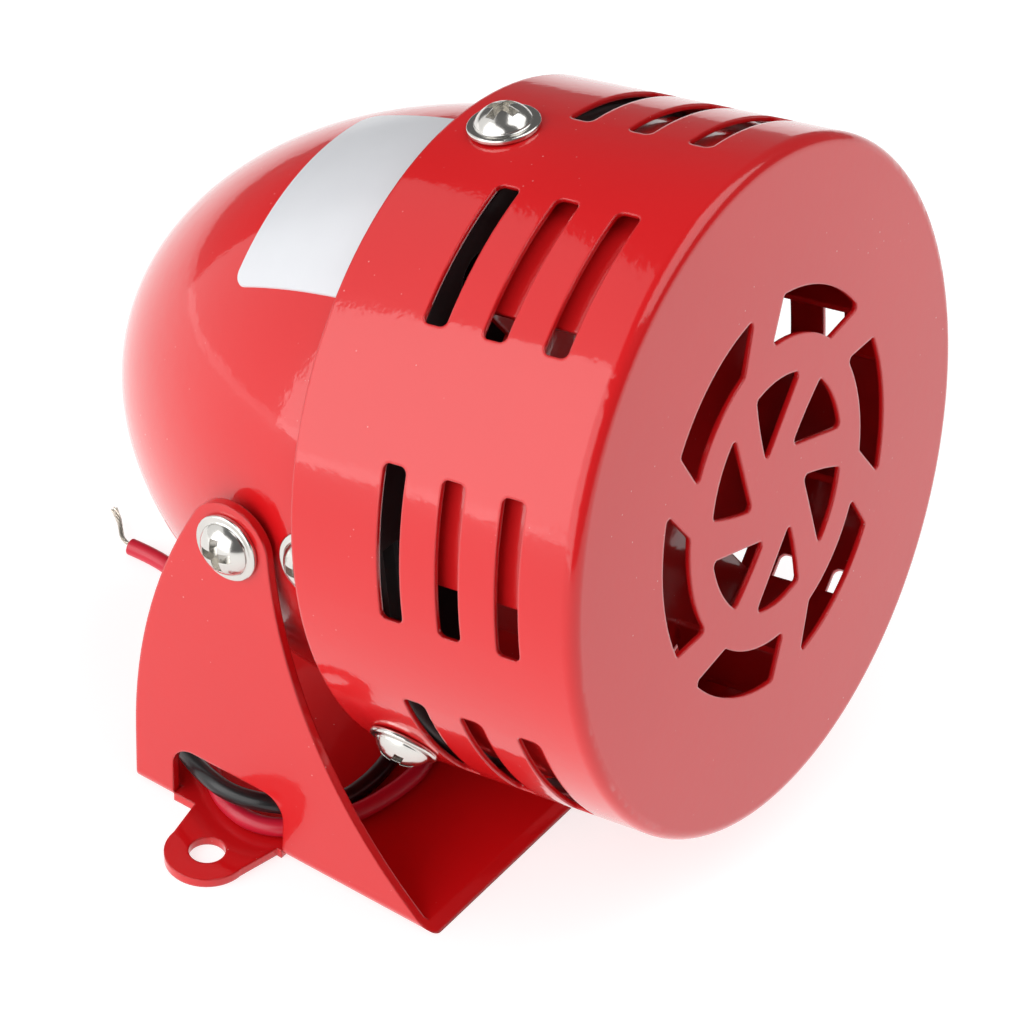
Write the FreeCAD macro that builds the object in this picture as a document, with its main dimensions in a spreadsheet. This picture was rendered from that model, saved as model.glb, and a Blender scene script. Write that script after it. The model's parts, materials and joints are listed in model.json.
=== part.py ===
"""Motor-driven alarm siren on a tilting U bracket, built as separate pieces.

Row frame: origin at the centre of the bracket's mounting face, +X to the right, the siren faces -Y, +Z up.
Siren frame: origin on the tilt axis, +Z forwards along the motor's axis, +X to the right, +Y up.
Sizes are in millimetres and degrees.
"""
import FreeCAD, Part
import Sketcher
import math
import os

Vector = FreeCAD.Vector
Rotation = FreeCAD.Rotation
Placement = FreeCAD.Placement

os.makedirs("parts", exist_ok=True)
doc = FreeCAD.newDocument("AlarmSiren")

# ---------------------------------------------------------------- driving dimensions
SIZES = {
    # front drum
    "drum_radius": 39.0,
    "drum_length": 35.4,
    "drum_edge_radius": 1.4,
    "sheet": 0.6,
    "face_z": 46.6,            # front face, ahead of the tilt axis
    "slot_length": 17.2,
    "slot_width": 2.9,
    "slot_pitch": 7.35,
    "slot_first_depth": 8.1,   # front face to the middle of the foremost slot
    "slot_phase_a": 31.2,      # slot groups, from the top towards -X, each with another opposite it
    "slot_phase_b": 78.2,
    "slot_phase_c": 120.4,
    "slot_phase_d": 166.4,
    "slot_corner": 0.8,
    # face grille
    "grille_openings": 6,
    "grille_radius": 22.8,
    "ring_outer": 17.6,
    "ring_inner": 13.4,
    "star_radius": 5.2,
    "grille_corner": 0.6,
    # screws
    "screw_radius": 2.0,
    "drum_screw_length": 5.2,
    "dome_screw_length": 5.5,
    "drum_grip": 1.5,          # outer skin to the weld nut, plus the nut's crown
    "dome_grip": 2.2,
    "pivot_screw_length": 7.0,
    "screw_hole": 2.15,
    "washer_head_radius": 4.0,
    "washer_head_thick": 0.65,
    "pan_radius": 3.1,
    "pan_dome": 2.9,           # radius of the head's domed top
    "pan_height": 2.4,
    "recess_arm": 1.95,
    "recess_half": 0.55,
    "recess_depth": 1.3,
    "drum_screw_depth": 29.3,
    "drum_screw_phase": 5.7,
    "dome_screw_depth": 36.3,
    # rear dome
    "dome_radius": 35.0,
    "dome_equator_depth": 33.4,
    "dome_mouth_depth": 32.9,
    "dome_length": 51.3,
    "drill_reach": 50.0,       # long enough to cross the whole siren
    # mounting plate
    "plate_depth": 25.2,
    "plate_gap": 0.05,
    "plate_flange": 6.3,
    "lug_radius": 33.7,
    "lug_length": 14.2,
    "lug_half_width": 5.0,
    "lug_relief": 0.6,
    "lug_window": 2.6,
    "vent_radius": 3.5,
    "vent_circle": 31.0,
    # rotor
    "rotor_radius": 37.0,
    "rotor_sheet": 0.8,
    "rotor_back_depth": 20.0,
    "rotor_front_depth": 5.0,
    "rotor_ports": 8,
    "rotor_wall_angle": 24.0,
    "rotor_phase": 26.8,       # middle of a first rotor wall, from the top towards -X
    "port_floor": 30.5,        # the disc stops here between the walls
    "vane_inner": 28.0,
    "hub_radius": 5.0,
    "spigot_radius": 3.0,
    # motor
    "shaft_radius": 1.585,
    "bush_bore": 1.62,
    "bush_radius": 3.0,
    "rear_bush_length": 6.0,
    "can_radius": 13.85,
    "can_length": 33.5,
    "can_wall": 1.1,
    "boss_radius": 6.5,
    "boss_height": 2.0,
    "magnet_thick": 2.1,
    "armature_radius": 9.9,
    "armature_length": 18.0,
    "motor_screw_offset": 9.5,
    "motor_screw_radius": 1.5,
    "clinch_radius": 2.9,
    "clinch_height": 2.9,
    "shaft_length": 52.5,
    "shaft_rear_depth": 67.0,
    "hub_thick": 2.6,
    "nut_corner_radius": 4.6,
    "nut_height": 2.4,
    "stack_rear_depth": 52.0,
    "coil_radius": 8.3,
    "coil_overhang": 2.4,
    "commutator_depth": 60.5,
    "commutator_radius": 3.8,
    "commutator_length": 5.6,
    "magnet_length": 22.0,
    "magnet_rear_depth": 54.0,
    "magnet_gap": 9.0,
    "cap_flange": 1.6,
    "cap_boss_radius": 5.0,
    "cap_boss_height": 6.5,
    "brush_length": 6.0,
    "brush_width": 3.2,
    "brush_height": 2.6,
    "tab_thick": 0.5,
    "tab_inner": 9.2,
    "tab_length": 7.0,
    # bracket
    "pivot_y": 7.8,
    "pivot_z": 40.9,
    "tilt_angle": 9.6,
    "inner_half": 35.3,
    "bracket_sheet": 1.1,
    "base_half": 21.3,
    "ear_tip_radius": 5.3,
    "ear_heel": 8.0,
    "ear_back_radius": 75.4,
    "ear_front_radius": 60.0,
    "ear_front_angle": 6.377,   # where the front edge leaves the tip circle
    "arch_half": 8.0,
    "arch_height": 8.6,
    "arch_corner": 3.0,
    "tab_reach": 5.1,          # ear's outer face to the mounting hole
    "tab_radius": 4.9,
    "tab_root": 6.0,
    "mount_hole": 2.1,
    "mount_y": 6.6,
    "bend_radius": 0.5,
    "running_gap": 0.08,
    "pivot_washer_radius": 3.7,
    "pivot_pad_start": 31.5,
    # label
    "label_width": 27.5,
    "label_height": 17.8,
    "label_front_depth": 35.7,
    "label_phase": 19.0,
    "label_thick": 0.2,
    "label_corner": 1.8,
    # leads
    "lead_radius": 1.1,
    "strand_radius": 0.16,
    "strand_length": 9.0,
    "exit_x": -3.0,
    "exit_pitch": 2.5,
    "exit_reach": 35.7,        # tilt axis to where the leads leave the grommet
    "grommet_radius": 3.9,
    "grommet_collar": 5.2,
    "grommet_inner": 31.8,     # tilt axis to the grommet's inner end
}
sheet = doc.addObject("Spreadsheet::Sheet", "Sizes")
for row, (alias, size) in enumerate(SIZES.items(), start=1):
    sheet.set("A%d" % row, alias)
    sheet.set("B%d" % row, str(size))
    sheet.setAlias("B%d" % row, alias)
doc.recompute()


def number(text):
    """The value of an expression of the sheet."""
    return float(sheet.evalExpression(text))


def s(text):
    """Writes an expression with bare aliases in full: every alias gets the sheet's name."""
    words, word = [], ""
    for letter in text + " ":
        if letter.isalnum() or letter == "_":
            word += letter
            continue
        words.append("Sizes." + word if word in SIZES else word)
        words.append(letter)
        word = ""
    return "".join(words).strip()


SIREN = Placement(
    Vector(0, SIZES["pivot_y"], SIZES["pivot_z"]),
    Rotation(Vector(1, 0, 0), 90 - SIZES["tilt_angle"]),
)
ROW = Placement()
TO_X = Rotation(Vector(0, 1, 0), 90)       # a cylinder's own +Z turned to +X
TO_MINUS_Y = Rotation(Vector(1, 0, 0), 90)  # a cylinder's own +Z turned to -Y
parts = {}


def keep(node, thing, placement):
    """Names a finished sub-part and puts it in its place."""
    thing.Label = node
    thing.Placement = placement
    parts[node] = thing
    return thing


# ---------------------------------------------------------------- sketches and features
def body(name):
    return doc.addObject("PartDesign::Body", name)


def origin(owner, role):
    return next(f for f in owner.Origin.OriginFeatures if f.Role == role)


def sketch(owner, name, role, offset=None):
    sk = owner.newObject("Sketcher::SketchObject", name)
    sk.AttachmentSupport = [(origin(owner, role), "")]
    sk.MapMode = "FlatFace"
    if offset is not None:
        sk.AttachmentOffset = offset
    return sk


def pin(sk, geo, pos, x, y):
    """Holds a sketch point at two expressions of the sheet."""
    for kind, axis, text in (("DistanceX", -2, x), ("DistanceY", -1, y)):
        value = number(s(text))
        if abs(value) < 1e-9:
            sk.addConstraint(Sketcher.Constraint("PointOnObject", geo, pos, axis))
        else:
            index = sk.addConstraint(Sketcher.Constraint(kind, -1, 1, geo, pos, value))
            sk.setExpression("Constraints[%d]" % index, s(text))


def outline(sk, stops):
    """Draws a closed outline. A stop is (x, y) or (x, y, radius): the radius bends the edge that leaves
    the stop, and is positive where that edge turns left. Each is an expression of the sheet."""
    points = [Vector(number(s(stop[0])), number(s(stop[1])), 0) for stop in stops]
    first = sk.GeometryCount
    ends = []
    for i, stop in enumerate(stops):
        here, there = points[i], points[(i + 1) % len(stops)]
        if len(stop) == 2:
            geo = sk.addGeometry(Part.LineSegment(here, there), False)
            ends.append((1, 2))
            continue
        radius = number(s(stop[2]))
        chord = there - here
        middle = (here + there) * 0.5
        left = Vector(-chord.y, chord.x, 0).normalize()
        height = math.sqrt(max(radius * radius - chord.Length ** 2 / 4, 0))
        centre = middle + left * math.copysign(height, radius)
        outward = -left * math.copysign(abs(radius), radius)
        geo = sk.addGeometry(Part.Arc(here, centre + outward, there), False)
        ends.append((1, 2) if (sk.getPoint(geo, 1) - here).Length < 1e-6 else (2, 1))
    for i, stop in enumerate(stops):
        after = (i + 1) % len(stops)
        joint = (first + i, ends[i][1], first + after, ends[after][0])
        sk.addConstraint(Sketcher.Constraint("Coincident", *joint))
        pin(sk, first + i, ends[i][0], stop[0], stop[1])
        if len(stop) == 3:
            index = sk.addConstraint(Sketcher.Constraint("Radius", first + i, abs(number(s(stop[2])))))
            sk.setExpression("Constraints[%d]" % index, s("abs(%s)" % stop[2]))


def circle(sk, x, y, radius):
    centre = Vector(number(s(x)), number(s(y)), 0)
    geo = sk.addGeometry(Part.Circle(centre, Vector(0, 0, 1), number(s(radius))), False)
    pin(sk, geo, 3, x, y)
    index = sk.addConstraint(Sketcher.Constraint("Radius", geo, number(s(radius))))
    sk.setExpression("Constraints[%d]" % index, s(radius))


def feature(owner, kind, name, sk, **sizes):
    """A sketch-based feature. Text sizes are expressions of the sheet; others are plain settings."""
    thing = owner.newObject("PartDesign::" + kind, name)
    thing.Profile = sk
    if kind in ("Revolution", "Groove"):
        thing.ReferenceAxis = (sk, ["V_Axis"])
        thing.Angle = 360
    for prop, size in sizes.items():
        if isinstance(size, str):
            thing.setExpression(prop, s(size))
        else:
            setattr(thing, prop, size)
    return thing


def around(owner, name, base, count):
    """Repeats a feature evenly round the body's Z axis."""
    pattern = owner.newObject("PartDesign::PolarPattern", name)
    pattern.Originals = [base]
    pattern.Axis = (origin(owner, "Z_Axis"), [""])
    pattern.Angle = 360
    pattern.setExpression("Occurrences", s(count))
    owner.Tip = pattern
    return pattern


def turned(angle):
    """The offset that turns an upright XZ sketch round the body's Z axis."""
    return Placement(Vector(), Rotation(Vector(0, 1, 0), angle))


def raised(height):
    return Placement(Vector(0, 0, height), Rotation())


# ---------------------------------------------------------------- primitives and booleans
def primitive(kind, name, sizes, at=None, turn=Rotation()):
    """A primitive whose sizes, and place if it is given, are expressions of the sheet."""
    thing = doc.addObject("Part::" + kind, name)
    for prop, text in sizes.items():
        thing.setExpression(prop, s(text))
    if at is not None:
        thing.Placement = Placement(Vector(*(number(s(text)) for text in at)), turn)
        for axis, text in zip("xyz", at):
            thing.setExpression(".Placement.Base." + axis, s(text))
    return thing


def rod(name, radius, length, at=None, turn=Rotation()):
    return primitive("Cylinder", name, {"Radius": radius, "Height": length}, at, turn)


def joined(name, *things):
    fuse = doc.addObject("Part::MultiFuse", name)
    fuse.Shapes = list(things)
    return fuse


def cut(name, base, *tools):
    result = doc.addObject("Part::Cut", name)
    result.Base = base
    result.Tool = tools[0] if len(tools) == 1 else joined(name + "Tools", *tools)
    return result


def common(name, one, other):
    result = doc.addObject("Part::Common", name)
    result.Base = one
    result.Tool = other
    return result


def group(name, things):
    compound = doc.addObject("Part::Compound", name)
    compound.Links = list(things)
    return compound


def radial(angle, radius, z):
    """A placement whose +Z points outwards from the siren's axis, at an angle from +X."""
    way = Vector(math.cos(math.radians(angle)), math.sin(math.radians(angle)), 0)
    return Placement(way * radius + Vector(0, 0, z), Rotation(Vector(0, 0, 1), way))


# ---------------------------------------------------------------- front drum
def front_drum():
    drum = body("FrontDrum")
    profile = sketch(drum, "DrumProfile", "XZ_Plane")
    back = "face_z - drum_length"
    outline(profile, [
        ("drum_radius - sheet", back),
        ("drum_radius", back),
        ("drum_radius", "face_z - drum_edge_radius", "drum_edge_radius"),
        ("drum_radius - drum_edge_radius", "face_z"),
        ("0", "face_z"),
        ("0", "face_z - sheet"),
        ("drum_radius - drum_edge_radius", "face_z - sheet", "sheet - drum_edge_radius"),
        ("drum_radius - sheet", "face_z - drum_edge_radius"),
    ])
    feature(drum, "Revolution", "DrumCup", profile)

    # three slots in a column, cut outwards through the wall, four times and again on the opposite side
    across, up = "slot_length / 2", "slot_width / 2"
    for letter in "abcd":
        slots = sketch(drum, "SlotColumn" + letter.upper(), "XZ_Plane", turned(SIZES["slot_phase_" + letter]))
        for column in range(3):
            middle = "face_z - slot_first_depth - %d * slot_pitch" % column
            outline(slots, [
                ("-%s + slot_corner" % across, "%s - %s" % (middle, up)),
                ("%s - slot_corner" % across, "%s - %s" % (middle, up), "slot_corner"),
                (across, "%s - %s + slot_corner" % (middle, up)),
                (across, "%s + %s - slot_corner" % (middle, up), "slot_corner"),
                ("%s - slot_corner" % across, "%s + %s" % (middle, up)),
                ("-%s + slot_corner" % across, "%s + %s" % (middle, up), "slot_corner"),
                ("-" + across, "%s + %s - slot_corner" % (middle, up)),
                ("-" + across, "%s - %s + slot_corner" % (middle, up), "slot_corner"),
            ])
        reach = "drum_radius + 5"
        cutter = feature(drum, "Pocket", "SlotCut" + letter.upper(), slots, Length=reach, Reversed=False)
        around(drum, "SlotPair" + letter.upper(), cutter, "2")

    holes = sketch(drum, "DrumScrewHole", "XZ_Plane", turned(SIZES["drum_screw_phase"]))
    circle(holes, "0", "face_z - drum_screw_depth", "screw_hole")
    cutter = feature(drum, "Pocket", "DrumScrewCut", holes, Length="drum_radius + 5", Reversed=False)
    around(drum, "DrumScrewHoles", cutter, "3")

    # one outer opening and one star opening of the face grille
    grille = sketch(drum, "Grille", "XY_Plane", raised(SIZES["face_z"]))

    def polar(radius, angle):
        return ("%s * cos(%s deg)" % (radius, angle), "%s * sin(%s deg)" % (radius, angle))

    outline(grille, [
        polar("grille_radius", 97.4) + ("grille_radius",),
        polar("grille_radius", 142.6),
        polar("ring_outer", 149.6) + ("-ring_outer",),
        polar("ring_outer", 107.6),
    ])
    outline(grille, [
        polar("ring_inner", 65.4) + ("ring_inner",),
        polar("ring_inner", 104.6) + ("3 * ring_inner",),
        polar("star_radius", 113.5),
    ])
    cutter = feature(drum, "Pocket", "GrilleCut", grille, Length="3 * sheet", Reversed=False)
    pattern = around(drum, "GrilleOpenings", cutter, "grille_openings")
    doc.recompute()

    # the openings' upright corners
    shape = pattern.Shape
    front = number(s("face_z"))
    corners = [
        "Edge%d" % i for i, edge in enumerate(shape.Edges, start=1)
        if edge.BoundBox.ZLength > 0.8 * SIZES["sheet"] and edge.BoundBox.ZMax > front - 1e-3
        and edge.BoundBox.XLength < 0.01 and edge.BoundBox.YLength < 0.01
    ]
    rounded = drum.newObject("PartDesign::Fillet", "GrilleCorners")
    rounded.Base = (pattern, corners)
    rounded.setExpression("Radius", s("grille_corner"))
    drum.Tip = rounded
    return keep("front_drum", drum, SIREN)


front_drum()


# ---------------------------------------------------------------- rear dome and what sits on it
def dome_solid(name, growth):
    """The dome's envelope as one solid, grown outwards by an expression."""
    middle = "face_z - dome_equator_depth"
    mouth = "face_z - dome_mouth_depth"
    radius = "dome_radius + " + growth
    length = "dome_length + " + growth
    skirt = rod(name + "Skirt", radius, "dome_equator_depth - dome_mouth_depth", ("0", "0", middle))
    egg = primitive("Ellipsoid", name + "Egg", {
        "Radius1": length, "Radius2": radius, "Radius3": radius, "Angle2": "0",
    }, ("0", "0", middle))
    return joined(name, skirt, egg)


def rear_dome():
    outer = dome_solid("DomeOuter", "0")
    inner = dome_solid("DomeInner", "-sheet")
    mouth = rod("DomeMouth", "dome_radius - sheet", "2", ("0", "0", "face_z - dome_mouth_depth - 1"))
    shell = cut("DomeShell", outer, inner, mouth)
    across = rod("PivotDrill", "screw_hole", "2 * drill_reach", ("-drill_reach", "0", "0"), TO_X)
    above = rod("DomeScrewDrill", "screw_hole", "2 * drill_reach",
                ("-drill_reach", "0", "face_z - dome_screw_depth"), TO_X)
    drop = rod("GrommetDrill", "grommet_radius", "20", ("exit_x", "-25", "0"), TO_MINUS_Y)
    drilled = cut("DomeDrilled", shell, across, above, drop)

    # the grommet's outer face is rounded about the tilt axis, so that it turns past the leads
    collar = rod("GrommetCollar", "grommet_collar", "exit_reach - grommet_inner + 1",
                 ("exit_x", "-grommet_inner", "0"), TO_MINUS_Y)
    crown = rod("GrommetCrown", "exit_reach", "2 * drill_reach", ("-drill_reach", "0", "0"), TO_X)
    keep("grommet", cut("Grommet", common("GrommetBlank", collar, crown), drilled), SIREN)
    keep("rear_dome", group("RearDome", [drilled]), SIREN)

    plate = body("LabelPlate")
    flat = sketch(plate, "LabelOutline", "XZ_Plane", turned(SIZES["label_phase"]))
    low = "face_z - label_front_depth - label_height"
    high = "face_z - label_front_depth"
    half = "label_width / 2"
    outline(flat, [
        ("-%s + label_corner" % half, low), ("%s - label_corner" % half, low, "label_corner"),
        (half, low + " + label_corner"), (half, high + " - label_corner", "label_corner"),
        ("%s - label_corner" % half, high), ("-%s + label_corner" % half, high, "label_corner"),
        ("-" + half, high + " - label_corner"), ("-" + half, low + " + label_corner", "label_corner"),
    ])
    feature(plate, "Pad", "LabelPad", flat, Length="dome_radius + 5", Reversed=True)
    skin = cut("LabelSkin", dome_solid("LabelOuter", "label_thick"), outer)
    keep("label", common("Label", skin, plate), SIREN)

    # the tilt pivots: rubber washers outside, weld nuts inside, pan screws through the ears
    washers, nuts, screws = [], [], []
    for side, name in ((1, "Right"), (-1, "Left")):
        turn = Rotation(Vector(0, 1, 0), 90 * side)
        start = "%d * pivot_pad_start" % side
        reach = "inner_half - pivot_pad_start"
        pad = rod("PivotPad" + name, "pivot_washer_radius", reach, (start, "0", "0"), turn)
        bore = rod("PivotPadBore" + name, "screw_radius", "10", ("%d * 30" % side, "0", "0"), turn)
        washers.append(cut("PivotWasher" + name, pad, outer, bore))
        nut = rod("PivotClinch" + name, "clinch_radius", "clinch_height + 4",
                  ("%d * (dome_radius - 2 * sheet - clinch_height)" % side, "0", "0"), turn)
        nuts.append(cut("PivotNut" + name, common("PivotNutSeat" + name, nut, inner), bore))
        way = radial(90 - 90 * side, 0, 0)
        screws.append(pan_screw("PivotScrew" + name, way, "inner_half + bracket_sheet", "pivot_screw_length"))
    keep("pivot_washers", group("PivotWashers", washers), SIREN)
    keep("pivot_weld_nuts", group("PivotWeldNuts", nuts), SIREN)
    keep("pivot_screws", group("PivotScrews", screws), SIREN)


def pan_screw(name, way, seat, length):
    """A pan screw with a washer face and a cross recess. Its axis is the placement's +Z and its washer face
    sits at an expression from the placement's origin."""
    screw = body(name)
    profile = sketch(screw, name + "Profile", "XZ_Plane")
    crown = seat + " + pan_height"
    edge = seat + " + washer_head_thick"
    outline(profile, [
        ("0", "%s - %s" % (seat, length)),
        ("screw_radius", "%s - %s" % (seat, length)),
        ("screw_radius", seat),
        ("washer_head_radius - 0.2", seat, "0.2"),
        ("washer_head_radius", seat + " + 0.2"),
        ("washer_head_radius", edge + " - 0.25", "0.25"),
        ("washer_head_radius - 0.25", edge),
        ("pan_radius + 0.25", edge, "-0.25"),
        ("pan_radius", edge + " + 0.25", "pan_dome"),
        ("0", crown),
    ])
    feature(screw, "Revolution", name + "Turned", profile)
    recess = sketch(screw, name + "Cross", "XY_Plane", raised(number(s(crown)) + 0.5))
    arm, slot = "recess_arm", "recess_half"
    outline(recess, [
        (arm, "-" + slot), (arm, slot), (slot, slot), (slot, arm), ("-" + slot, arm), ("-" + slot, slot),
        ("-" + arm, slot), ("-" + arm, "-" + slot), ("-" + slot, "-" + slot), ("-" + slot, "-" + arm),
        (slot, "-" + arm), (slot, "-" + slot),
    ])
    feature(screw, "Pocket", name + "Recess", recess, Length="recess_depth + 0.5")
    screw.Placement = way
    return screw


rear_dome()


# ---------------------------------------------------------------- mounting plate
def mounting_plate():
    plate = body("MountingPlate")
    profile = sketch(plate, "PlateProfile", "XZ_Plane")
    front, back = "face_z - plate_depth", "face_z - plate_depth - sheet"
    rim = "drum_radius - sheet - plate_gap"
    tail = "face_z - plate_depth - sheet - plate_flange"
    outline(profile, [
        ("boss_radius + 0.1", back),
        (rim + " - sheet - 0.3", back, "-0.3"),
        (rim + " - sheet", back + " - 0.3"),
        (rim + " - sheet", tail),
        (rim, tail),
        (rim, front + " - 1.5", "1.5"),
        (rim + " - 1.5", front),
        ("boss_radius + 0.1", front),
    ])
    feature(plate, "Revolution", "PlateCup", profile)

    windows = sketch(plate, "PlateOpenings", "XY_Plane", raised(number(s(front)) + 1))
    for side in ("", "-"):
        near, far, wide = "lug_radius + 0.05", "lug_radius + lug_window", "lug_half_width + lug_relief"
        stops = [(near, "-(%s)" % wide), (far, "-(%s)" % wide), (far, wide), (near, wide)]
        outline(windows, [("%s(%s)" % (side, x), "%s(%s)" % (side, y)) for x, y in stops])
        circle(windows, side + "motor_screw_offset", "0", "motor_screw_radius + 0.1")
        for other in ("", "-"):
            circle(windows, side + "vent_circle * 0.5", other + "vent_circle * 0.866", "vent_radius")
    feature(plate, "Pocket", "PlateCut", windows, Length="3 * sheet")

    lugs = sketch(plate, "Lugs", "XY_Plane", raised(number(s(front)) - 0.3))
    for side in ("", "-"):
        reach = "sqrt(%s * %s - lug_half_width * lug_half_width)"
        out = reach % ("lug_radius", "lug_radius")
        within = reach % ("(lug_radius - sheet)", "(lug_radius - sheet)")
        stops = [(within, "-lug_half_width"), (out, "-lug_half_width", "lug_radius"),
                 (out, "lug_half_width"), (within, "lug_half_width", "-(lug_radius - sheet)")]
        outline(lugs, [("%s(%s)" % (side, stop[0]), "%s(%s)" % (side, stop[1])) + stop[2:] for stop in stops])
    feature(plate, "Pad", "LugPad", lugs, Length="lug_length - 0.3", Reversed=True)

    holes = sketch(plate, "PlateDrumScrewHole", "XZ_Plane", turned(SIZES["drum_screw_phase"]))
    circle(holes, "0", "face_z - drum_screw_depth", "screw_hole")
    cutter = feature(plate, "Pocket", "PlateDrumScrewCut", holes, Length="drum_radius + 5", Reversed=False)
    around(plate, "PlateDrumScrewHoles", cutter, "3")
    sides = sketch(plate, "LugHole", "YZ_Plane")
    circle(sides, "0", "face_z - dome_screw_depth", "screw_hole")
    plate.Tip = feature(plate, "Pocket", "LugHoles", sides, Length="80", Midplane=True)
    keep("mounting_plate", plate, SIREN)


mounting_plate()


def drum_fasteners():
    """Three pan screws in the drum's rear edge and two in the dome, each into a weld nut."""
    flange = rod("FlangeBore", "drum_radius - 2 * sheet - plate_gap", "60", ("0", "0", "-10"))
    lug = rod("LugBore", "lug_radius - sheet", "60", ("0", "0", "-30"))
    for family, count, first, seat_bore in (
        ("drum", 3, 90 + SIZES["drum_screw_phase"], flange),
        ("dome", 2, 0, lug),
    ):
        seat = family + "_radius"
        screws, nuts = [], []
        for i in range(count):
            way = radial(first + i * 360 / count, 0, number(s("face_z - %s_screw_depth" % family)))
            screws.append(pan_screw("%sScrew%d" % (family.title(), i), way, seat, family + "_screw_length"))
            name = "%sNut%d" % (family.title(), i)
            inner = "%s - clinch_height - %s_grip" % (seat, family)
            blank = rod(name + "Blank", "clinch_radius", "clinch_height + 2")
            bore = rod(name + "Bore", "screw_radius", "20")
            for thing, start in ((blank, number(s(inner))), (bore, number(s(inner)) - 5)):
                thing.Placement = way.multiply(Placement(Vector(0, 0, start), Rotation(Vector(0, 0, 1), 0)))
            nuts.append(cut(name, common(name + "Seat", blank, seat_bore), bore))
        keep(family + "_screws", group(family.title() + "Screws", screws), SIREN)
        keep(family + "_weld_nuts", group(family.title() + "WeldNuts", nuts), SIREN)


drum_fasteners()


# ---------------------------------------------------------------- rotor
def rotor():
    wheel = body("Rotor")
    disc = sketch(wheel, "RotorDisc", "XZ_Plane")
    rear, floor = "face_z - rotor_back_depth", "face_z - rotor_back_depth + rotor_sheet"
    outline(disc, [
        ("spigot_radius", rear), ("rotor_radius", rear), ("rotor_radius", floor), ("spigot_radius", floor),
    ])
    feature(wheel, "Revolution", "RotorPlate", disc)
    notch = sketch(wheel, "RotorPort", "XY_Plane", raised(number(s(rear)) - 1))
    wall = sketch(wheel, "RotorWall", "XY_Plane", raised(number(s(rear))))
    low = "(90 + rotor_phase - rotor_wall_angle / 2)"
    high = "(90 + rotor_phase + rotor_wall_angle / 2)"
    inner = "(rotor_radius - rotor_sheet)"

    def polar(radius, angle):
        return ("%s * cos(%s * 1 deg)" % (radius, angle), "%s * sin(%s * 1 deg)" % (radius, angle))

    after = "(90 + rotor_phase - rotor_wall_angle / 2 + 360 / rotor_ports)"
    beyond = "(rotor_radius + 2)"
    outline(notch, [polar("port_floor", high), polar(beyond, high), polar(beyond, after),
                    polar("port_floor", after) + ("-port_floor",)])
    opening = feature(wheel, "Pocket", "PortCut", notch, Length="3", Reversed=True)
    around(wheel, "RotorPorts", opening, "rotor_ports")
    outline(wall, [polar(inner, low), polar("rotor_radius", low) + ("rotor_radius",),
                   polar("rotor_radius", high), polar(inner, high) + ("-" + inner,)])
    segment = feature(wheel, "Pad", "WallPad", wall, Length="rotor_back_depth - rotor_front_depth")
    around(wheel, "RotorWalls", segment, "rotor_ports")
    vane = sketch(wheel, "Vane", "XY_Plane", Placement(
        Vector(0, 0, number(s(rear))), Rotation(Vector(0, 0, 1), 90 + SIZES["rotor_phase"] - 11.3)))
    half = "rotor_sheet / 2"
    outline(vane, [("vane_inner", "-" + half), (inner + " + 0.3", "-" + half), (inner + " + 0.3", half),
                   ("vane_inner", half)])
    blade = feature(wheel, "Pad", "VanePad", vane, Length="rotor_back_depth - rotor_front_depth - 1")
    around(wheel, "RotorVanes", blade, "rotor_ports")
    keep("rotor", wheel, SIREN)


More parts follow.
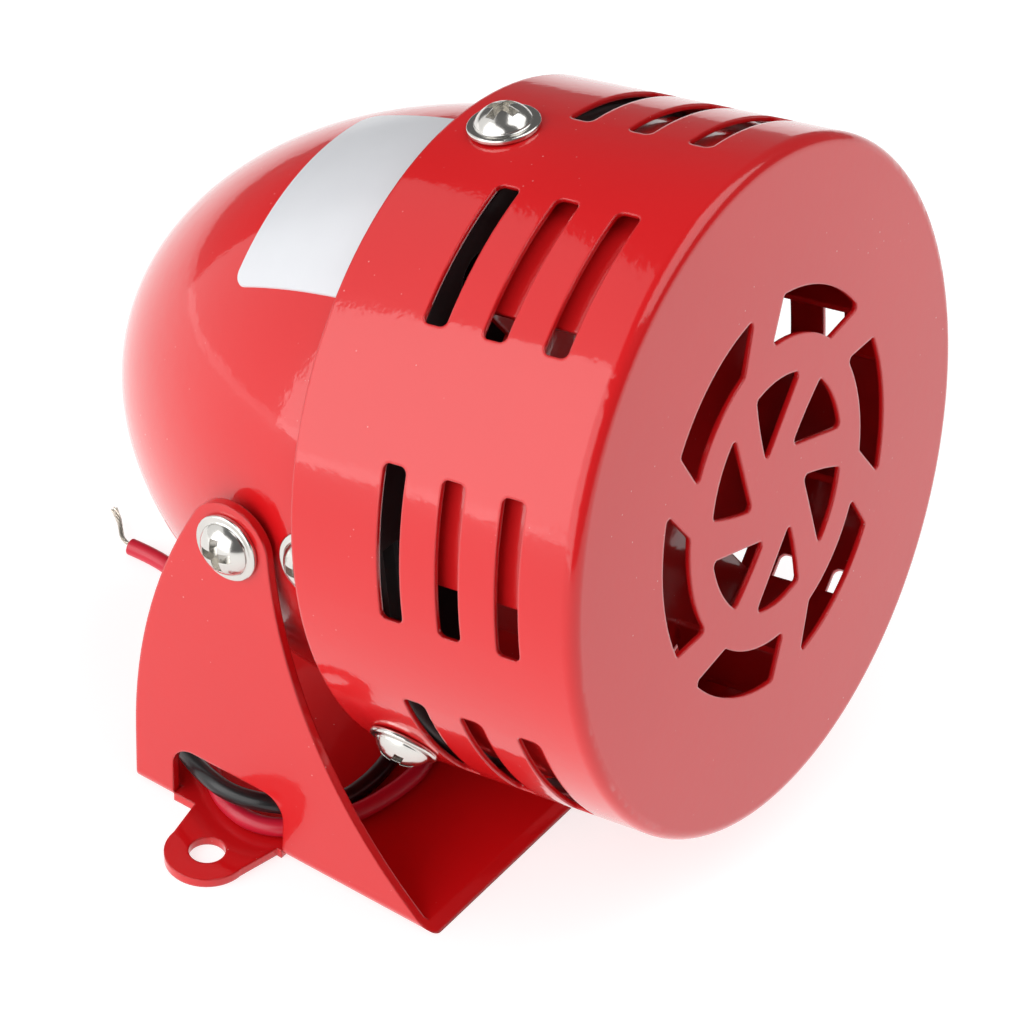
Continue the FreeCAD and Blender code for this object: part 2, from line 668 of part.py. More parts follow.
def spinning_parts():
    rotor()
    shaft = rod("Shaft", "shaft_radius", "shaft_length", ("0", "0", "face_z - shaft_rear_depth"))
    seat = "face_z - rotor_back_depth"
    hub = joined("HubBlank",
                 rod("HubFlange", "hub_radius", "hub_thick", ("0", "0", seat + " - hub_thick")),
                 rod("HubSpigot", "spigot_radius", "rotor_sheet + 1", ("0", "0", seat + " - 1")))
    keep("rotor_hub", cut("RotorHub", hub, rod("HubBore", "shaft_radius", "20", ("0", "0", "15"))), SIREN)
    nut = primitive("Prism", "NutBlank", {"Circumradius": "nut_corner_radius", "Height": "nut_height"},
                    ("0", "0", "face_z - rotor_back_depth + rotor_sheet"))
    keep("rotor_nut", cut("RotorNut", nut, rod("NutBore", "shaft_radius", "20", ("0", "0", "20"))), SIREN)
    keep("motor_shaft", group("MotorShaft", [shaft]), SIREN)

    core = body("ArmatureCore")
    stack = sketch(core, "Lamination", "XY_Plane", raised(number(s("face_z - stack_rear_depth"))))
    circle(stack, "0", "0", "armature_radius")
    circle(stack, "0", "0", "shaft_radius")
    feature(core, "Pad", "Stack", stack, Length="armature_length")
    slot = sketch(core, "WindingSlot", "XY_Plane", raised(number(s("face_z - stack_rear_depth"))))
    outline(slot, [("4.2", "-1.9"), ("8.4", "-3.2"), ("8.4", "-0.7"), ("11", "-0.7"),
                   ("11", "0.7"), ("8.4", "0.7"), ("8.4", "3.2"), ("4.2", "1.9")])
    opening = feature(core, "Pocket", "SlotOpening", slot, Length="armature_length + 2", Reversed=True)
    around(core, "WindingSlots", opening, "5")
    laminations = group("Laminations", [core])
    coil = rod("CoilBlank", "coil_radius", "armature_length + 2 * coil_overhang",
               ("0", "0", "face_z - stack_rear_depth - coil_overhang"))
    bore = rod("CoilBore", "2.6", "60", ("0", "0", "-30"))
    keep("armature_windings", cut("ArmatureWindings", coil, laminations, bore), SIREN)
    keep("armature_core", group("ArmatureCoreStack", [laminations]), SIREN)

    commutator = body("Commutator")
    start = raised(number(s("face_z - commutator_depth")))
    ring = sketch(commutator, "CommutatorRing", "XY_Plane", start)
    circle(ring, "0", "0", "commutator_radius")
    circle(ring, "0", "0", "shaft_radius")
    feature(commutator, "Pad", "CommutatorPad", ring, Length="commutator_length")
    gap = sketch(commutator, "SegmentGap", "XY_Plane", start)
    outline(gap, [("2.9", "-0.15"), ("4.5", "-0.15"), ("4.5", "0.15"), ("2.9", "0.15")])
    groove = feature(commutator, "Pocket", "SegmentCut", gap, Length="8", Reversed=True)
    around(commutator, "SegmentGaps", groove, "5")
    keep("commutator", commutator, SIREN)


spinning_parts()


# ---------------------------------------------------------------- motor
def motor():
    front = "face_z - plate_depth - sheet"
    rear = front + " - can_length"
    can = cut("CanBody",
              joined("CanBlank", rod("CanTube", "can_radius", "can_length", ("0", "0", rear)),
                     rod("CanBoss", "boss_radius", "boss_height + 1", ("0", "0", front + " - 1"))),
              rod("CanHollow", "can_radius - can_wall", "can_length - can_wall", ("0", "0", rear)),
              rod("BushSeat", "bush_radius", "20", ("0", "0", "10")),
              rod("CanThreadRight", "motor_screw_radius", "20", ("motor_screw_offset", "0", "10")),
              rod("CanThreadLeft", "motor_screw_radius", "20", ("-motor_screw_offset", "0", "10")))
    keep("motor_can", can, SIREN)
    bush = cut("FrontBushTurned",
               rod("FrontBushBlank", "bush_radius", "boss_height + can_wall",
                   ("0", "0", front + " - can_wall")),
               rod("FrontBushBore", "bush_bore", "20", ("0", "0", "10")))
    keep("front_bush", bush, SIREN)

    # two arc magnets against the can
    back = ("0", "0", "face_z - magnet_rear_depth")
    ring = cut("MagnetRing",
               rod("MagnetOuter", "can_radius - can_wall", "magnet_length", back),
               rod("MagnetInner", "can_radius - can_wall - magnet_thick", "magnet_length", back))
    gap = primitive("Box", "MagnetGap", {
        "Length": "magnet_gap", "Width": "2 * drill_reach", "Height": "2 * drill_reach",
    }, ("-magnet_gap / 2", "-drill_reach", "-drill_reach"))
    keep("motor_magnets", cut("MotorMagnets", ring, gap), SIREN)

    low = rear + " - cap_flange - cap_boss_height + 0.1"
    cap = joined("CapBlank",
                 rod("CapFlange", "can_radius", "cap_flange", ("0", "0", rear + " - cap_flange")),
                 rod("CapPlug", "can_radius - can_wall", "4.5", ("0", "0", rear + " - 1")),
                 rod("CapBoss", "cap_boss_radius", "cap_boss_height", ("0", "0", low)))
    tools = [
        rod("CapHollow", "4.2", "20", ("0", "0", rear + " - 1.4")),
        rod("RearBushSeat", "bush_radius", "20", ("0", "0", low)),
    ]
    brushes, tabs = [], []
    for side, name in ((1, "Right"), (-1, "Left")):
        block = {"Length": "brush_length", "Width": "brush_width", "Height": "brush_height"}
        place = "commutator_radius + 0.05" if side > 0 else "-commutator_radius - 0.05 - brush_length"
        brushes.append(primitive("Box", "Brush" + name, block, (place, "-brush_width / 2", rear + " + 0.3")))
        strip = {"Length": "tab_thick", "Width": "brush_width", "Height": "tab_length + 0.3"}
        place = "tab_inner" if side > 0 else "-tab_inner - tab_thick"
        corner = (place, "-brush_width / 2", rear + " - tab_length")
        tabs.append(primitive("Box", "Terminal" + name, strip, corner))
    tools += brushes + tabs
    keep("motor_end_cap", cut("MotorEndCap", cap, *tools), SIREN)
    keep("brushes", group("Brushes", brushes), SIREN)
    keep("motor_terminals", group("MotorTerminals", tabs), SIREN)
    rear_bush = cut("RearBushTurned",
                    rod("RearBushBlank", "bush_radius", "rear_bush_length", ("0", "0", low)),
                    rod("RearBushBore", "bush_bore", "20", ("0", "0", low + " - 2")))
    keep("rear_bush", rear_bush, SIREN)

    screws = []
    for side in ("", "-"):
        seat = "face_z - plate_depth"
        screws.append(joined(
            "MotorScrew" + ("Left" if side else "Right"),
            rod("MotorScrewShank" + side.replace("-", "B"), "motor_screw_radius", "2.5",
                (side + "motor_screw_offset", "0", seat + " - 2.4")),
            rod("MotorScrewHead" + side.replace("-", "B"), "motor_screw_radius * 1.85", "1.7",
                (side + "motor_screw_offset", "0", seat))))
    keep("motor_screws", group("MotorScrews", screws), SIREN)


motor()


# ---------------------------------------------------------------- bracket
def bracket():
    frame = body("Bracket")
    section = sketch(frame, "ChannelSection", "XZ_Plane")
    wall = "inner_half + bracket_sheet"
    bend = "(bend_radius + bracket_sheet)"
    outline(section, [
        ("-(inner_half - bend_radius)", "0"),
        ("inner_half - bend_radius", "0", bend),
        (wall, bend), (wall, "60"), ("inner_half", "60"),
        ("inner_half", bend, "-bend_radius"),
        ("inner_half - bend_radius", "bracket_sheet"),
        ("-(inner_half - bend_radius)", "bracket_sheet", "-bend_radius"),
        ("-inner_half", bend), ("-inner_half", "60"), ("-(%s)" % wall, "60"),
        ("-(%s)" % wall, bend, bend),
    ])
    feature(frame, "Pad", "Channel", section, Length="2 * base_half", Midplane=True)

    ears = sketch(frame, "EarOutline", "YZ_Plane")
    run = "(pivot_y - base_half + ear_back_radius)"
    scale = "ear_tip_radius / (ear_back_radius - ear_tip_radius)"
    outline(ears, [
        ("base_half", "-1"), ("base_half", "ear_heel", "ear_back_radius"),
        ("pivot_y + %s * %s" % (run, scale), "pivot_z + (pivot_z - ear_heel) * " + scale, "ear_tip_radius"),
        ("pivot_y - ear_tip_radius * cos(ear_front_angle * 1 deg)",
         "pivot_z + ear_tip_radius * sin(ear_front_angle * 1 deg)", "-ear_front_radius"),
        ("-base_half", "0"), ("-base_half", "-1"),
    ])
    outline(ears, [("-60", "-5"), ("60", "-5"), ("60", "70"), ("-60", "70")])
    feature(frame, "Pocket", "EarTrim", ears, Length="100", Midplane=True)

    for side, name in ((1, "Right"), (-1, "Left")):
        plane = side * (SIZES["inner_half"] - SIZES["bend_radius"])
        arch = sketch(frame, "Arch" + name, "YZ_Plane", raised(plane))
        top = "arch_height"
        outline(arch, [
            ("pivot_y - arch_half", "-1"), ("pivot_y + arch_half", "-1"),
            ("pivot_y + arch_half", top + " - arch_corner", "arch_corner"),
            ("pivot_y + arch_half - arch_corner", top),
            ("pivot_y - arch_half + arch_corner", top, "arch_corner"),
            ("pivot_y - arch_half", top + " - arch_corner"),
        ])
        feature(frame, "Pocket", "ArchCut" + name, arch, Length="5", Reversed=side > 0)

    tabs = sketch(frame, "Tabs", "XY_Plane")
    hole_x = "(inner_half + bracket_sheet + tab_reach)"
    for side in ("", "-"):
        root = "(inner_half - bend_radius - 0.5)"
        wall = "(inner_half + bracket_sheet)"
        sign = 1 if side == "" else -1
        stops = [(side + root, "pivot_y - %d * (arch_half - 0.1)" % sign),
                 (side + wall, "pivot_y - %d * (arch_half - 0.1)" % sign),
                 (side + wall, "mount_y - %d * tab_root" % sign),
                 (side + hole_x, "mount_y - %d * tab_radius" % sign, "tab_radius"),
                 ("%s(%s + tab_radius)" % (side, hole_x), "mount_y", "tab_radius"),
                 (side + hole_x, "mount_y + %d * tab_radius" % sign),
                 (side + wall, "mount_y + %d * tab_root" % sign),
                 (side + wall, "pivot_y + %d * (arch_half - 0.1)" % sign),
                 (side + root, "pivot_y + %d * (arch_half - 0.1)" % sign)]
        outline(tabs, stops)
        circle(tabs, side + hole_x, "mount_y", "mount_hole")
    feature(frame, "Pad", "TabPad", tabs, Length="bracket_sheet")

    pivots = sketch(frame, "PivotHoles", "YZ_Plane")
    circle(pivots, "pivot_y", "pivot_z", "screw_radius + running_gap")
    frame.Tip = feature(frame, "Pocket", "PivotDrilled", pivots, Length="100", Midplane=True)
    keep("bracket", frame, ROW)


bracket()


# ---------------------------------------------------------------- leads
EXIT_Y = number(s("pivot_y - exit_reach * sin(tilt_angle * 1 deg)"))
EXIT_Z = number(s("pivot_z - exit_reach * cos(tilt_angle * 1 deg)"))
EXIT_X = SIZES["exit_x"]
HALF_PITCH = SIZES["exit_pitch"] / 2

BLACK_ROUTE = [
    (EXIT_X - HALF_PITCH, EXIT_Y, EXIT_Z), (-4.25, 1.61, 4.32), (-5.15, 1.6, 2.98), (-6.5, 1.35, 2.22),
    (-9.8, 0.7, 2.22), (-15.0, -0.6, 2.22), (-21.0, -1.7, 2.22), (-26.6, -1.2, 2.25), (-31.0, 0.6, 3.75),
    (-34.4, 3.4, 4.9), (-35.9, 7.6, 5.0), (-35.2, 11.8, 4.95), (-32.9, 16.4, 3.9), (-29.6, 21.6, 2.3),
    (-25.6, 25.8, 1.15), (-21.0, 29.6, 1.12), (-17.0, 33.6, 1.12),
]
RED_ROUTE = [
    (EXIT_X + HALF_PITCH, EXIT_Y, EXIT_Z), (-1.75, 1.61, 4.32), (-2.33, 1.1, 2.98), (-3.43, 0.13, 2.22),
    (-6.0, -1.7, 2.22), (-11.2, -2.6, 2.22), (-16.0, -5.0, 2.22), (-21.5, -4.9, 2.22), (-27.5, -3.6, 2.22),
    (-33.2, -0.2, 2.22), (-36.0, 4.4, 2.22), (-35.0, 9.6, 2.22), (-31.6, 14.2, 2.22), (-27.6, 18.4, 2.22),
    (-23.0, 22.0, 2.3), (-18.0, 25.2, 1.15), (-13.2, 29.0, 1.12), (-9.2, 33.6, 1.12), (-5.8, 38.8, 1.12),
    (-3.7, 44.2, 1.12), (-4.1, 49.6, 1.12),
]


CORNER_SHARE = 0.45   # how much of the shorter run a corner's arc takes up
STRAIGHT = 1e-3       # radians: a smaller turn needs no arc


def tube(node, route, radius, placement=ROW):
    """A tube of straight runs joined by tangent arcs, as deep into each corner as the shorter run allows."""
    points = [Vector(*point) for point in route]
    edges, start, bends = [], points[0], []
    for before, corner, after in zip(points, points[1:], points[2:]):
        into = (corner - before).normalize()
        out = (after - corner).normalize()
        turn = into.getAngle(out)
        reach = CORNER_SHARE * min((corner - before).Length, (after - corner).Length)
        if turn < STRAIGHT:
            continue
        bend = reach / math.tan(turn / 2)
        bends.append(bend)
        first, last = corner - into * reach, corner + out * reach
        bisector = (out - into).normalize()
        middle = corner + bisector * (bend / math.cos(turn / 2) - bend)
        edges.append(Part.LineSegment(start, first).toShape())
        edges.append(Part.Arc(first, middle, last).toShape())
        start = last
    edges.append(Part.LineSegment(start, points[-1]).toShape())
    spine = Part.Wire(edges)
    ring = Part.Wire([Part.Circle(points[0], points[1] - points[0], radius).toShape()])
    solid = spine.makePipeShell([ring], True, False)
    print(node, "length", round(spine.Length, 1), "tightest bend", round(min(bends), 2),
          "volume ratio", round(solid.Volume / (math.pi * radius ** 2 * spine.Length), 4))
    thing = doc.addObject("Part::Feature", node.title().replace("_", ""))
    thing.Shape = solid
    keep(node, thing, placement)


STRANDS = 7           # one in the middle, the others round it


def strands(node, route):
    """The fine wires on from the insulation's end."""
    end, before = Vector(*route[-1]), Vector(*route[-2])
    along = (end - before).normalize()
    turn = Rotation(Vector(0, 0, 1), along)
    wires = []
    for i in range(STRANDS):
        angle = i * math.tau / (STRANDS - 1)
        offset = Vector(math.cos(angle), math.sin(angle), 0) if i else Vector()
        base = end + turn.multVec(offset * number(s("strand_radius * 2.2")))
        wire = rod("%s%d" % (node.title().replace("_", ""), i), "strand_radius", "strand_length")
        wire.Placement = Placement(base, turn)
        wires.append(wire)
    keep(node, group(node.title().replace("_", "") + "Bundle", wires), ROW)


for colour, path in (("black", BLACK_ROUTE), ("red", RED_ROUTE)):
    tube(colour + "_lead", path, SIZES["lead_radius"])
    strands(colour + "_strands", path)

# the same two wires inside, from the grommet up to the motor's terminals, in the siren frame
for colour, side in (("black", -1), ("red", 1)):
    x_exit = EXIT_X + side * HALF_PITCH
    tube(colour + "_inner_wire", [
        (x_exit, -SIZES["grommet_inner"], 0), (x_exit, -29.4, 0), (x_exit, -27.4, -2.2),
        (x_exit, -26.4, -6.4), (side * 3.0 - 1.0, -24.0, -11.5), (side * 5.6, -19.0, -19.5),
        (side * 7.4, -13.4, -25.0), (side * 8.8, -7.6, -27.4), (side * 9.45, -2.8, -26.6),
        (side * 9.45, 0, -23.6), (side * 9.45, 0, -19.7),
    ], SIZES["lead_radius"], SIREN)

# ---------------------------------------------------------------- checks and export
doc.recompute()
broken = [thing.Name for thing in doc.Objects if "Invalid" in thing.State or "Error" in thing.State]
if broken:
    raise RuntimeError("features that failed: " + ", ".join(broken))
for node, thing in parts.items():
    shape = thing.Shape
    if shape.isNull() or not shape.isValid():
        raise RuntimeError("bad shape: " + node)
    print("%-18s solids %d volume %8.1f" % (node, len(shape.Solids), shape.Volume))
    shape.exportStep("parts/%s.step" % node)
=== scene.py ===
"""The alarm siren's looks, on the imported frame. Everything is in metres."""
import json
import math

import bpy
from mathutils import Matrix, Vector


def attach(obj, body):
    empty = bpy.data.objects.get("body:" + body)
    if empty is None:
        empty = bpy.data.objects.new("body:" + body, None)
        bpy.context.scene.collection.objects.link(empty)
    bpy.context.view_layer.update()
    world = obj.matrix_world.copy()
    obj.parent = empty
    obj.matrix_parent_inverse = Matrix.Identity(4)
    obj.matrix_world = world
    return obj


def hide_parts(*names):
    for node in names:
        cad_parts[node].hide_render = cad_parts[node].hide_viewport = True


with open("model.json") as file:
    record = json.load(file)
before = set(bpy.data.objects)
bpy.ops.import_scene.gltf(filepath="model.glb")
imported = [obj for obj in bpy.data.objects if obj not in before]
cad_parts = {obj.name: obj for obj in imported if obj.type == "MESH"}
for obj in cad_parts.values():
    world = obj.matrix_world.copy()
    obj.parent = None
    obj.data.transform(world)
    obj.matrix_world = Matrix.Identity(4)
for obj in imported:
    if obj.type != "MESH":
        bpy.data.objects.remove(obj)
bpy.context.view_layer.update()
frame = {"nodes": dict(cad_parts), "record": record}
nodes = frame["nodes"]


# ---------------------------------------------------------------- node helpers
class Graph:
    """A new material's node tree, with short calls for the nodes that the finishes share."""

    def __init__(self, name):
        self.material = bpy.data.materials.new(name)
        self.material.use_nodes = True
        self.tree = self.material.node_tree
        self.tree.nodes.clear()
        self.shader = self.add("ShaderNodeBsdfPrincipled")
        output = self.add("ShaderNodeOutputMaterial")
        self.tree.links.new(self.shader.outputs["BSDF"], output.inputs["Surface"])
        self.place = self.add("ShaderNodeTexCoord").outputs["Object"]

    def add(self, kind, **settings):
        node = self.tree.nodes.new(kind)
        for name, value in settings.items():
            setattr(node, name, value)
        return node

    def set(self, node, **sockets):
        for name, value in sockets.items():
            socket = node.inputs[name.replace("_", " ")]
            if isinstance(value, bpy.types.NodeSocket):
                self.tree.links.new(value, socket)
            else:
                socket.default_value = value
        return node

    def noise(self, scale, detail=3.0, roughness=0.5):
        node = self.add("ShaderNodeTexNoise")
        self.set(node, Vector=self.place, Scale=scale, Detail=detail, Roughness=roughness)
        return node.outputs["Fac"]

    def specks(self, scale, size):
        """1 inside small sparse dots, 0 elsewhere."""
        cells = self.set(self.add("ShaderNodeTexVoronoi"), Vector=self.place, Scale=scale)
        return self.ramp(cells.outputs["Distance"], ((size * 0.6, (1, 1, 1, 1)), (size, (0, 0, 0, 1))))

    def ramp(self, fac, stops):
        node = self.add("ShaderNodeValToRGB")
        band = node.color_ramp
        band.elements[0].position, band.elements[0].color = stops[0]
        band.elements[1].position, band.elements[1].color = stops[-1]
        for place, colour in stops[1:-1]:
            band.elements.new(place).color = colour
        self.tree.links.new(fac, node.inputs["Fac"])
        return node.outputs["Color"]

    def maths(self, operation, one, other):
        node = self.add("ShaderNodeMath", operation=operation)
        for socket, value in zip(node.inputs, (one, other)):
            if isinstance(value, bpy.types.NodeSocket):
                self.tree.links.new(value, socket)
            else:
                socket.default_value = value
        return node.outputs[0]

    def mix(self, fac, one, other):
        node = self.add("ShaderNodeMix", data_type="RGBA")
        for name, value in (("Factor", fac), ("A", one), ("B", other)):
            socket = next(s for s in node.inputs if s.name == name and s.enabled)
            if isinstance(value, bpy.types.NodeSocket):
                self.tree.links.new(value, socket)
            else:
                socket.default_value = value
        return next(s for s in node.outputs if s.enabled)

    def bump(self, height, distance, strength=1.0, rounding=0.0):
        """Bump on the surface, over edges rounded by a radius."""
        node = self.add("ShaderNodeBump")
        self.set(node, Height=height, Distance=distance, Strength=strength)
        if rounding:
            bevel = self.set(self.add("ShaderNodeBevel", samples=6), Radius=rounding)
            self.tree.links.new(bevel.outputs["Normal"], node.inputs["Normal"])
        self.tree.links.new(node.outputs["Normal"], self.shader.inputs["Normal"])
        return node.outputs["Normal"]


DUST_SCALE = 620              # dust cells to a metre
DUST_SIZE = 0.07              # a speck's share of its cell
DUST_COLOUR = (0.85, 0.55, 0.53, 1)
CLEAN_ABOVE = 0.52            # below this level of the cloud the enamel has no dust
PEEL_SCALE = 900
PEEL_DEPTH = 0.00003
ENAMEL_ROUNDING = 0.0004


def red_enamel(name, deep=(0.60, 0.005, 0.007, 1), lit=(0.69, 0.010, 0.013, 1)):
    """Thick glossy stove enamel: orange peel, softened edges and a little dust."""
    g = Graph(name)
    tone = g.mix(g.noise(35, 2), deep, lit)
    dust = g.specks(DUST_SCALE, DUST_SIZE)
    clean = g.noise(60, 2)
    dusty = g.ramp(clean, ((CLEAN_ABOVE, (0, 0, 0, 1)), (CLEAN_ABOVE + 0.1, (1, 1, 1, 1))))
    dust = g.maths("MULTIPLY", dust, dusty)
    colour = g.mix(g.maths("MULTIPLY", dust, 0.4), tone, DUST_COLOUR)
    g.set(g.shader, Base_Color=colour, Roughness=0.35, IOR=1.5, Coat_Weight=1.0, Coat_Roughness=0.06)
    g.set(g.shader, Specular_IOR_Level=0.12)
    peel = g.maths("ADD", g.noise(PEEL_SCALE, 2), g.maths("MULTIPLY", dust, 0.4))
    normal = g.bump(peel, PEEL_DEPTH, 0.5, rounding=ENAMEL_ROUNDING)
    g.tree.links.new(normal, g.shader.inputs["Coat Normal"])
    return g.material


def metal(name, colour, roughness, grain=800, wear=0.25, rounding=0.00012):
    """Bare or plated metal with fine uneven polish."""
    g = Graph(name)
    cloud = g.noise(180, 4, 0.6)
    dark = tuple(c * (1 - wear) for c in colour) + (1,)
    rough = g.maths("MULTIPLY_ADD", cloud, roughness)
    rough.node.inputs[2].default_value = roughness * 0.6
    g.set(g.shader, Base_Color=g.mix(cloud, dark, colour + (1,)), Metallic=1.0, Roughness=rough)
    g.bump(g.noise(grain, 3), 0.00001, 0.4, rounding=rounding)
    return g.material


def plain(name, colour, roughness, grain=700, depth=0.00002, sheen=0.0):
    """Moulded plastic, rubber or insulation with a fine skin."""
    g = Graph(name)
    light = tuple(min(1, c * 1.35 + 0.006) for c in colour) + (1,)
    tone = g.mix(g.noise(90, 4), colour + (1,), light)
    g.set(g.shader, Base_Color=tone, Roughness=roughness, Sheen_Weight=sheen)
    g.bump(g.noise(grain, 3), depth, 0.5, rounding=0.0001)
    return g.material


def label_foil():
    """Silver-grey printed foil, left blank."""
    g = Graph("label_foil")
    base = g.mix(g.noise(140, 4), (0.70, 0.71, 0.74, 1), (0.76, 0.77, 0.80, 1))
    g.set(g.shader, Base_Color=base, Metallic=0.15, Roughness=0.34, Coat_Weight=0.3, Coat_Roughness=0.15)
    g.bump(g.noise(300, 2), 0.00003, 0.3)
    return g.material


finishes = {
    "red_enamel": red_enamel("red_enamel"),
    "rotor_paint": red_enamel("rotor_paint", (0.55, 0.006, 0.008, 1), (0.66, 0.012, 0.014, 1)),
    # painted shade: the plate inside the drum gets this near-black finish so that the interior seen
    # through the rear slots looks dark
    "black_enamel": plain("black_enamel", (0.018, 0.018, 0.019), 0.34),
    "label_foil": label_foil(),
    "nickel": metal("nickel", (0.78, 0.76, 0.72), 0.16),
    "zinc_steel": metal("zinc_steel", (0.62, 0.63, 0.64), 0.3),
    "brass": metal("brass", (0.80, 0.60, 0.28), 0.25),
    "spring_steel": metal("spring_steel", (0.6, 0.6, 0.6), 0.15),
    "motor_steel": metal("motor_steel", (0.60, 0.61, 0.63), 0.28),
    "ferrite": plain("ferrite", (0.05, 0.05, 0.055), 0.7),
    "lamination": metal("lamination", (0.32, 0.32, 0.33), 0.4),
    "copper": metal("copper", (0.78, 0.36, 0.16), 0.25),
    "carbon": plain("carbon", (0.03, 0.03, 0.03), 0.6),
    "motor_plastic": plain("motor_plastic", (0.03, 0.03, 0.03), 0.45),
    "bronze": metal("bronze", (0.62, 0.40, 0.22), 0.4),
    "black_rubber": plain("black_rubber", (0.012, 0.012, 0.012), 0.55, sheen=0.1),
    "red_insulation": plain("red_insulation", (0.50, 0.008, 0.03), 0.3),
    "black_insulation": plain("black_insulation", (0.008, 0.008, 0.009), 0.28),
    "tinned_copper": metal("tinned_copper", (0.80, 0.72, 0.62), 0.25),
}
for part in frame["record"]["subparts"]:
    thing = nodes[part["node"]]
    for slot in thing.material_slots:
        slot.material = finishes[part["material_slot"]]


# ---------------------------------------------------------------- leads
BLACK_ROUTE = [
    (-0.00425, 0.001846, 0.00570), (-0.00425, 0.00161, 0.00432), (-0.00515, 0.0016, 0.00298),
    (-0.0065, 0.00135, 0.00222), (-0.0098, 0.0007, 0.00222), (-0.0150, -0.0006, 0.00222),
    (-0.0210, -0.0017, 0.00222), (-0.0266, -0.0012, 0.00225), (-0.0310, 0.0006, 0.00375),
    (-0.0344, 0.0034, 0.0049), (-0.0359, 0.0076, 0.0050), (-0.0352, 0.0118, 0.00495),
    (-0.0329, 0.0164, 0.0039), (-0.0296, 0.0216, 0.0023), (-0.0256, 0.0258, 0.00115),
    (-0.0210, 0.0296, 0.00112), (-0.0170, 0.0336, 0.00112),
]
RED_ROUTE = [
    (-0.00175, 0.001846, 0.00570), (-0.00175, 0.00161, 0.00432), (-0.00233, 0.0011, 0.00298),
    (-0.00343, 0.00013, 0.00222), (-0.0060, -0.0017, 0.00222), (-0.0112, -0.0026, 0.00222),
    (-0.0160, -0.0050, 0.00222), (-0.0215, -0.0049, 0.00222), (-0.0275, -0.0036, 0.00222),
    (-0.0332, -0.0002, 0.00222), (-0.0360, 0.0044, 0.00222), (-0.0350, 0.0096, 0.00222),
    (-0.0316, 0.0142, 0.00222), (-0.0276, 0.0184, 0.00222), (-0.0230, 0.0220, 0.0023),
    (-0.0180, 0.0252, 0.00115), (-0.0132, 0.0290, 0.00112), (-0.0092, 0.0336, 0.00112),
    (-0.0058, 0.0388, 0.00112), (-0.0037, 0.0442, 0.00112), (-0.0041, 0.0496, 0.00112),
]
# the middle of each bared end's fine wires, on from the insulation
BLACK_WIRES = [
    (-0.0170, 0.0336, 0.00112), (-0.0154, 0.0349, 0.0010), (-0.0138, 0.0357, 0.0008),
    (-0.0124, 0.0363, 0.0007), (-0.0112, 0.0366, 0.0009),
]
RED_WIRES = [
    (-0.0041, 0.0496, 0.00112), (-0.0037, 0.0512, 0.0010), (-0.0022, 0.0529, 0.0008),
    (-0.0006, 0.0546, 0.0010), (0.0003, 0.0564, 0.0015),
]
LEAD_DIAMETER = 0.0022
WIRE_RADIUS = 0.00011
WIRES = 7                     # one in the middle, the others round it
TWIST = 9.0                   # radians along the bared end
LAY_RADIUS = 2.15 * WIRE_RADIUS
STRAY_START = 0.7             # share of the bared end after which the wires part


def add_spline(data, points):
    spline = data.splines.new("NURBS")
    spline.points.add(len(points) - 1)
    for point, place in zip(spline.points, points):
        point.co = tuple(place) + (1,)
    spline.order_u = 3
    spline.use_endpoint_u = True
    spline.resolution_u = 8


def curve(name, lines, radius, finish):
    """One curve object with a round section along each line of control points."""
    data = bpy.data.curves.new(name, "CURVE")
    data.dimensions = "3D"
    for line in lines:
        add_spline(data, line)
    data.bevel_depth = radius
    data.bevel_resolution = 5
    data.use_fill_caps = True
    data.materials.append(finishes[finish])
    thing = bpy.data.objects.new(name, data)
    bpy.context.collection.objects.link(thing)
    return thing


def points_along(route):
    """The points of the smooth line that a route's spline makes."""
    plain_line = bpy.data.curves.new("line", "CURVE")
    plain_line.dimensions = "3D"
    add_spline(plain_line, route)
    holder = bpy.data.objects.new("line", plain_line)
    mesh = bpy.data.meshes.new_from_object(holder)
    points = [vertex.co.copy() for vertex in mesh.vertices]
    bpy.data.objects.remove(holder)
    bpy.data.meshes.remove(mesh)
    bpy.data.curves.remove(plain_line)
    return points


def wires(name, route):
    """Fine wires twisted about a line, which part and stray a little towards its end."""
    middle = points_along(route)[::3]
    lines = []
    for i in range(WIRES):
        line = []
        for step, place in enumerate(middle):
            along = step / (len(middle) - 1)
            ahead = middle[min(step + 1, len(middle) - 1)] - middle[max(step - 1, 0)]
            side = ahead.cross(Vector((0, 0, 1))).normalized()
            up = side.cross(ahead).normalized()
            angle = i * math.tau / (WIRES - 1) + TWIST * along
            off = 0.0 if i == 0 else LAY_RADIUS * (1 + 0.2 * math.sin(3 * along + i))
            stray = max(0.0, along - STRAY_START) ** 1.5 * (0.0007 + 0.0005 * (i % 3))
            out = off + stray
            line.append(place + side * math.cos(angle) * out + up * abs(math.sin(angle)) * out)
        lines.append(line)
    return curve(name, lines, WIRE_RADIUS, "tinned_copper")


def lead(colour, route, wire_route):
    insulation = colour + "_insulation"
    tube = curve(colour + "_lead_skin", [route], LEAD_DIAMETER / 2, insulation)
    ends = wires(colour + "_lead_wires", wire_route)
    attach(tube, "bracket")
    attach(ends, "bracket")
    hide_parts(colour + "_lead")
    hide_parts(colour + "_strands")


lead("black", BLACK_ROUTE, BLACK_WIRES)
lead("red", RED_ROUTE, RED_WIRES)


# ---------------------------------------------------------------- camera, floor and light
CAMERA_PLACE = (-0.24812, -0.16280, 0.25108)
CAMERA_LOOK = (0.67424, 0.42989, -0.60050)
CAMERA_ROLL = 4.0             # degrees
FOCAL_LENGTH = 112.5          # millimetres, on a sensor 36 mm wide
AIM = (0, 0, 0.04)            # where the softboxes point
AMBIENT = 0.14
FLOOR_HALF = 12.0
FLOOR_GLOW = 0.72
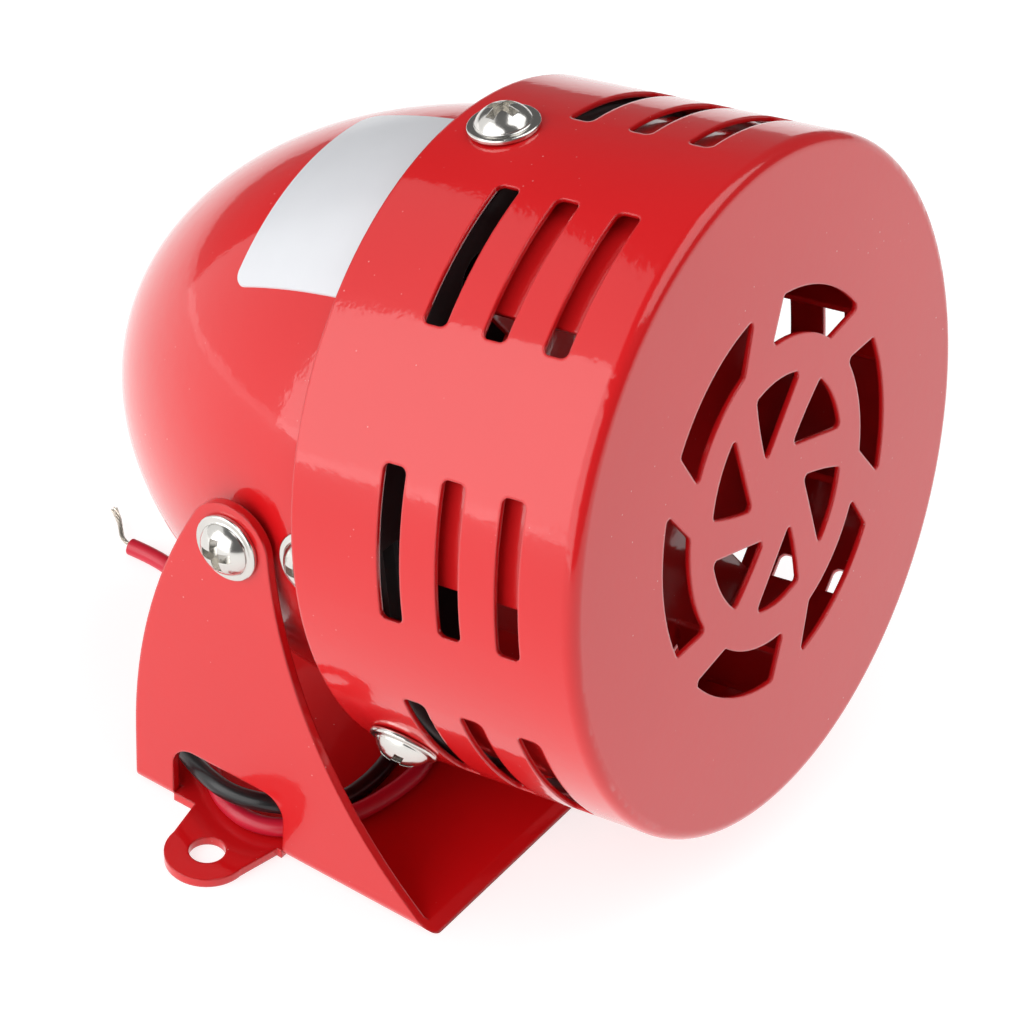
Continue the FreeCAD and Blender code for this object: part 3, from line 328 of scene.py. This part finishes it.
# name, place, width and height in metres, power in watts
SOFTBOXES = (
    ("key", (-0.98, 0.25, 0.36), (1.5, 1.3), 13.0),
    ("tent", (-0.45, 0.80, 0.50), (1.4, 1.2), 4.4),
    ("right", (0.30, -0.40, 0.95), (1.0, 1.0), 6.4),
)


def turned(way):
    """A rotation that points an object's -Z along a direction."""
    return way.to_track_quat("-Z", "Y").to_matrix().to_4x4()


def camera():
    data = bpy.data.cameras.new("camera")
    data.sensor_width = 36.0
    data.lens = FOCAL_LENGTH
    thing = bpy.data.objects.new("camera", data)
    bpy.context.collection.objects.link(thing)
    roll = Matrix.Rotation(math.radians(CAMERA_ROLL), 4, "Z")
    thing.matrix_world = Matrix.Translation(Vector(CAMERA_PLACE)) @ turned(Vector(CAMERA_LOOK)) @ roll
    bpy.context.scene.camera = thing


def softbox(name, place, size, power):
    data = bpy.data.lights.new(name, "AREA")
    data.shape = "RECTANGLE"
    data.size, data.size_y = size
    data.energy = power
    thing = bpy.data.objects.new(name, data)
    bpy.context.collection.objects.link(thing)
    thing.matrix_world = Matrix.Translation(Vector(place)) @ turned(Vector(AIM) - Vector(place))


def studio():
    scene = bpy.context.scene
    scene.view_settings.view_transform = "Standard"
    world = bpy.data.worlds.new("studio")
    scene.world = world
    world.use_nodes = True
    background = world.node_tree.nodes["Background"]
    background.inputs["Color"].default_value = (1, 1, 1, 1)
    background.inputs["Strength"].default_value = AMBIENT

    mesh = bpy.data.meshes.new("floor")
    corners = [(x * FLOOR_HALF, y * FLOOR_HALF, 0) for x, y in ((-1, -1), (1, -1), (1, 1), (-1, 1))]
    mesh.from_pydata(corners, [], [(0, 1, 2, 3)])
    floor = bpy.data.objects.new("floor", mesh)
    bpy.context.collection.objects.link(floor)
    g = Graph("floor_white")
    tone = g.mix(g.noise(6, 2), (0.49, 0.49, 0.49, 1), (0.51, 0.51, 0.51, 1))
    g.set(g.shader, Base_Color=tone, Roughness=0.9, Specular_IOR_Level=0.0)
    g.set(g.shader, Emission_Color=(1, 1, 1, 1), Emission_Strength=FLOOR_GLOW)
    mesh.materials.append(g.material)

    for box in SOFTBOXES:
        softbox(*box)


camera()
studio()
